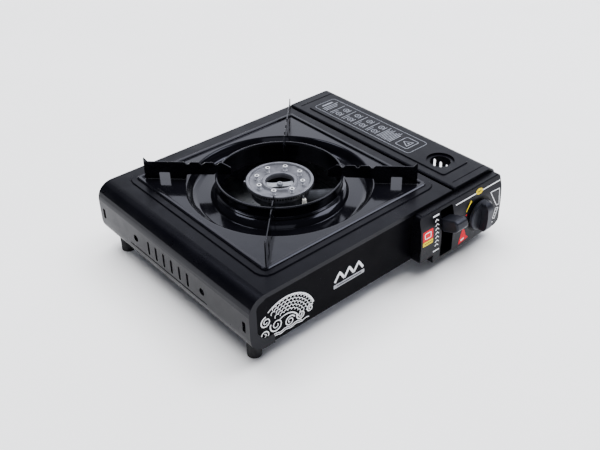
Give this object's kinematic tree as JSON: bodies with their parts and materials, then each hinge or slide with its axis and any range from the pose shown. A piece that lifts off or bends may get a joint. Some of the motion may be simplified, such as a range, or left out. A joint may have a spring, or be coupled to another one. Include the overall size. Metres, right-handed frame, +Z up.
{
  "type": "portable gas stove",
  "caption": "Low rectangular camping stove with a lift-off enamelled pan and pot support blades, a hinged lid over the cartridge bay, a turning knob and a locking lever.",
  "frame": {"origin": "centre of the whole part's box in X and Y, at the height of the feet's soles", "axes": "+X to the right seen from the controls, +Y to the back, +Z up"},
  "size_m": [0.342, 0.2957, 0.108],
  "materials": {
    "satin_black_paint": "satin powder coat, faint blue-black",
    "gloss_black_enamel": "glossy vitreous enamel",
    "zinc_plated_steel": "zinc plated, dull",
    "cast_aluminium": "die cast, slightly grained",
    "black_plastic": "moulded, fine texture",
    "dark_rubber": "moulded",
    "brass_fitting": "turned",
    "white_ceramic": null,
    "silicone_sleeve": "silicone sleeved wire"
  },
  "bodies": {
    "stove_body": {"casing_top": "satin_black_paint", "front_panel": "satin_black_paint", "back_panel": "satin_black_paint", "base_tray": "zinc_plated_steel", "partition": "zinc_plated_steel", "foot_front_left": "dark_rubber", "foot_back_left": "dark_rubber", "foot_front_right": "dark_rubber", "foot_back_right": "dark_rubber", "foot_screw_front_left": "zinc_plated_steel", "foot_screw_back_left": "zinc_plated_steel", "foot_screw_front_right": "zinc_plated_steel", "foot_screw_back_right": "zinc_plated_steel", "front_screw": "zinc_plated_steel", "back_screw_left": "zinc_plated_steel", "back_screw_right": "zinc_plated_steel", "burner_body": "cast_aluminium", "burner_cap": "cast_aluminium", "burner_crossbar": "zinc_plated_steel", "burner_screw": "zinc_plated_steel", "burner_bracket": "zinc_plated_steel", "bracket_screw_left": "zinc_plated_steel", "bracket_screw_right": "zinc_plated_steel", "electrode_insulator": "white_ceramic", "electrode_rod": "zinc_plated_steel", "electrode_clip": "zinc_plated_steel", "igniter_lead": "silicone_sleeve", "regulator_body": "cast_aluminium", "regulator_bonnet": "zinc_plated_steel", "regulator_bracket": "zinc_plated_steel", "inlet_seal": "dark_rubber", "gas_nozzle": "brass_fitting", "piezo_igniter": "black_plastic", "control_housing": "black_plastic", "lever_pin": "zinc_plated_steel", "lever_bracket": "zinc_plated_steel", "cartridge_rest": "zinc_plated_steel", "lid_pin_front": "zinc_plated_steel", "lid_pin_back": "zinc_plated_steel"},
    "cooktop": {"drip_pan": "gloss_black_enamel", "wind_ring": "gloss_black_enamel", "pot_support_front_left": "gloss_black_enamel", "pot_support_back_left": "gloss_black_enamel", "pot_support_front_right": "gloss_black_enamel", "pot_support_back_right": "gloss_black_enamel"},
    "knob_group": {"knob": "black_plastic", "valve_shaft": "brass_fitting", "igniter_cam": "black_plastic"},
    "lever": {"lever_arm": "zinc_plated_steel", "lever_handle": "black_plastic"},
    "carriage": {"carriage": "zinc_plated_steel"},
    "lid": {"cartridge_lid": "satin_black_paint"}
  },
  "joints": [
    {"name": "knob_turn", "type": "hinge", "parent": "stove_body", "child": "knob_group", "pos_m": [0.131, -0.12912, 0.044], "axis": [0, -1, 0], "range_deg": [0, 110]},
    {"name": "lever_swing", "type": "hinge", "parent": "stove_body", "child": "lever", "pos_m": [0.08, -0.10013, 0.045], "axis": [1, 0, 0], "range_deg": [0, 42]},
    {"name": "carriage_slide", "type": "slide", "parent": "stove_body", "child": "carriage", "axis": [0, -1, 0], "range_m": [0, 0.0087]},
    {"name": "lid_hinge", "type": "hinge", "parent": "stove_body", "child": "lid", "pos_m": [0.1693, 0, 0.0645], "axis": [0, 1, 0], "range_deg": [0, 95]},
    {"name": "pan_lift", "type": "slide", "parent": "stove_body", "child": "cooktop", "axis": [0, 0, 1], "range_m": [0, 0.06]}
  ],
  "couplings": [
    {"joint": "carriage_slide", "follows": "lever_swing", "m_per_rad": 0.011733}
  ]
}
